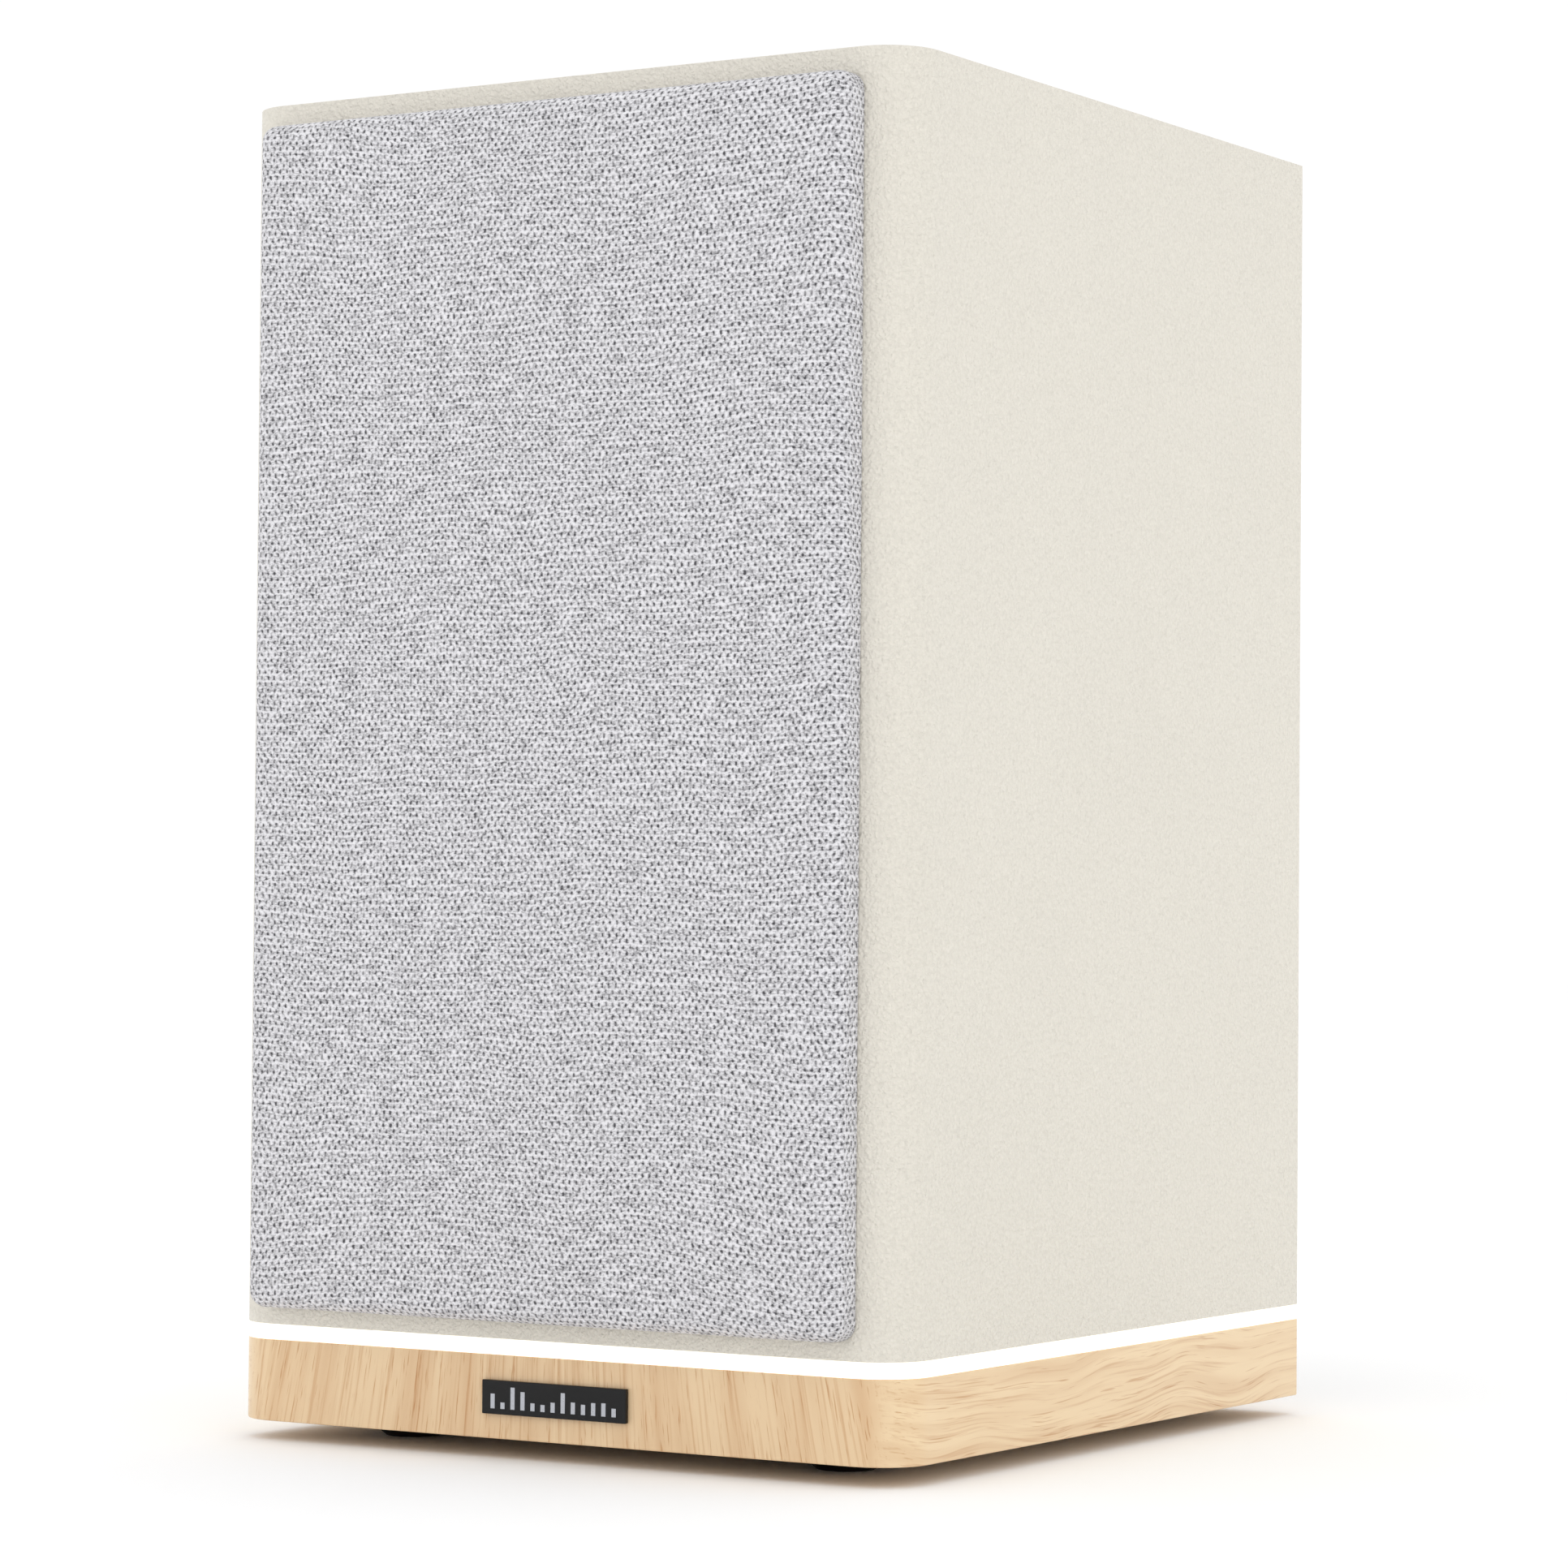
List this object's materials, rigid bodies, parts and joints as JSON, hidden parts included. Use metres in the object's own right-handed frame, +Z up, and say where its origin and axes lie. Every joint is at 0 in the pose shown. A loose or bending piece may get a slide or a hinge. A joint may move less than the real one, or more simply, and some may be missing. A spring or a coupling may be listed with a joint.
{
  "type": "bookshelf speaker",
  "caption": "Powered two-way bookshelf speaker: wrapped cabinet with round front edges, pull-off cloth grille, lit band over a wood plinth, and a rear port, sockets and controls.",
  "frame": {"origin": "centre of the bounding box, at the floor under the feet", "axes": "+Z up, front of the speaker towards -Y, +X to the right seen from the front"},
  "size_m": [0.178, 0.2206, 0.3045],
  "materials": {
    "cream_vinyl": "pebbled matt vinyl",
    "mdf": "raw fibreboard",
    "black_board": "black laminated fibreboard",
    "wadding": "loose polyester felt",
    "light_diffuser": "frosted acrylic",
    "led_tape": "white flexible circuit",
    "wire_grey": "pvc insulation",
    "wire_red": "pvc insulation",
    "wire_blue": "pvc insulation",
    "pale_wood": "matt sealed wood grain",
    "screw_steel": "zinc plated",
    "black_screw": "black zinc",
    "foot_rubber": "moulded rubber",
    "badge_black": "gloss",
    "grille_plastic": "moulded",
    "grille_cloth": "melange woven cloth",
    "magnet_plate": "nickel plated",
    "foam": "closed cell foam",
    "black_metal": "satin black",
    "surround_rubber": "nitrile rubber",
    "cone_paper": "coated paper pulp",
    "spider_cloth": "resin dipped cotton",
    "former_paper": "polyimide film",
    "copper_winding": "enamelled copper",
    "plated_iron": "zinc plated",
    "ferrite": "sintered ferrite",
    "black_plastic": "fine textured",
    "silk": "coated silk",
    "circuit_board": "solder mask",
    "brass": "bright",
    "aluminium": "extruded",
    "transformer_core": "ferrite and tape",
    "capacitor_sleeve": "shrink sleeve",
    "nickel": "nickel plated",
    "gold_plate": "gold plated",
    "cap_red": "moulded",
    "cap_black": "moulded",
    "pot_housing": "moulded",
    "rotor_plastic": "acetal",
    "knob_metal": "anodised",
    "button_plastic": "translucent"
  },
  "bodies": {
    "root": {"vinyl_wrap": "cream_vinyl", "cabinet_sleeve": "mdf", "front_baffle": "mdf", "rear_panel": "black_board", "damping_pad": "wadding", "light_guide": "light_diffuser", "led_strip": "led_tape", "light_lead": "wire_grey", "plinth": "pale_wood", "plinth_screws": "screw_steel", "feet": "foot_rubber", "badge": "badge_black", "baffle_magnets": "magnet_plate", "woofer_gasket": "foam", "woofer_basket": "black_metal", "woofer_surround": "surround_rubber", "woofer_spider": "spider_cloth", "woofer_top_plate": "plated_iron", "woofer_magnet": "ferrite", "woofer_yoke": "plated_iron", "woofer_screws": "black_screw", "woofer_lead": "wire_red", "tweeter_faceplate": "black_plastic", "tweeter_surround": "silk", "tweeter_top_plate": "plated_iron", "tweeter_magnet": "ferrite", "tweeter_yoke": "plated_iron", "tweeter_screws": "black_screw", "tweeter_lead": "wire_blue", "port_tube": "black_plastic", "amp_plate": "black_metal", "amp_screws": "black_screw", "amp_board": "circuit_board", "standoffs": "brass", "heatsink": "aluminium", "transformer": "transformer_core", "capacitors": "capacitor_sleeve", "mains_inlet": "black_plastic", "rca_jacks": "nickel", "aux_jack": "black_plastic", "binding_posts": "gold_plate", "control_housings": "pot_housing"},
    "grille": {"grille_frame": "grille_plastic", "grille_fabric": "grille_cloth", "grille_magnets": "magnet_plate"},
    "woofer_moving": {"woofer_cone": "cone_paper", "dust_cap": "cone_paper", "coil_former": "former_paper", "voice_coil": "copper_winding"},
    "tweeter_moving": {"tweeter_dome": "silk", "tweeter_coil": "copper_winding"},
    "volume_rotor": {"encoder_rotor": "rotor_plastic"},
    "volume_control": {"volume_shaft": "aluminium", "volume_knob": "knob_metal"},
    "bass_control": {"bass_knob": "knob_metal"},
    "treble_control": {"treble_knob": "knob_metal"},
    "light_key": {"light_button": "button_plastic"},
    "power_key": {"power_rocker": "black_plastic"},
    "red_cap": {"red_post_cap": "cap_red"},
    "black_cap": {"black_post_cap": "cap_black"}
  },
  "joints": [
    {"name": "grille_pull", "type": "slide", "parent": "root", "child": "grille", "axis": [0, -1, 0], "range_m": [0, 0.08]},
    {"name": "woofer_stroke", "type": "slide", "parent": "root", "child": "woofer_moving", "axis": [0, -1, 0], "range_m": [-0.005, 0.005], "stiffness_N_per_m": 1000, "deforming": ["woofer_surround", "woofer_spider"]},
    {"name": "tweeter_stroke", "type": "slide", "parent": "root", "child": "tweeter_moving", "axis": [0, -1, 0], "range_m": [-0.0003, 0.0003], "stiffness_N_per_m": 500, "deforming": ["tweeter_surround"]},
    {"name": "volume_turn", "type": "hinge", "parent": "root", "child": "volume_rotor", "pos_m": [0.032, 0.09035, 0.175], "axis": [0, 1, 0], "continuous": true},
    {"name": "volume_push", "type": "slide", "parent": "volume_rotor", "child": "volume_control", "axis": [0, -1, 0], "range_m": [0, 0.0005], "stiffness_N_per_m": 800},
    {"name": "bass_turn", "type": "hinge", "parent": "root", "child": "bass_control", "pos_m": [-0.004, 0.09035, 0.175], "axis": [0, 1, 0], "range_deg": [-140, 140]},
    {"name": "treble_turn", "type": "hinge", "parent": "root", "child": "treble_control", "pos_m": [-0.032, 0.09035, 0.175], "axis": [0, 1, 0], "range_deg": [-140, 140]},
    {"name": "light_press", "type": "slide", "parent": "root", "child": "light_key", "axis": [0, -1, 0], "range_m": [0, 0.0015], "stiffness_N_per_m": 300},
    {"name": "power_rock", "type": "hinge", "parent": "root", "child": "power_key", "pos_m": [-0.038, 0.09115, 0.075], "axis": [-1, 0, 0], "range_deg": [0, 16]},
    {"name": "red_cap_turn", "type": "hinge", "parent": "root", "child": "red_cap", "pos_m": [0.023, 0.09035, 0.077], "axis": [0, 1, 0], "range_deg": [0, 360]},
    {"name": "black_cap_turn", "type": "hinge", "parent": "root", "child": "black_cap", "pos_m": [0.042, 0.09035, 0.077], "axis": [0, 1, 0], "range_deg": [0, 360]}
  ]
}
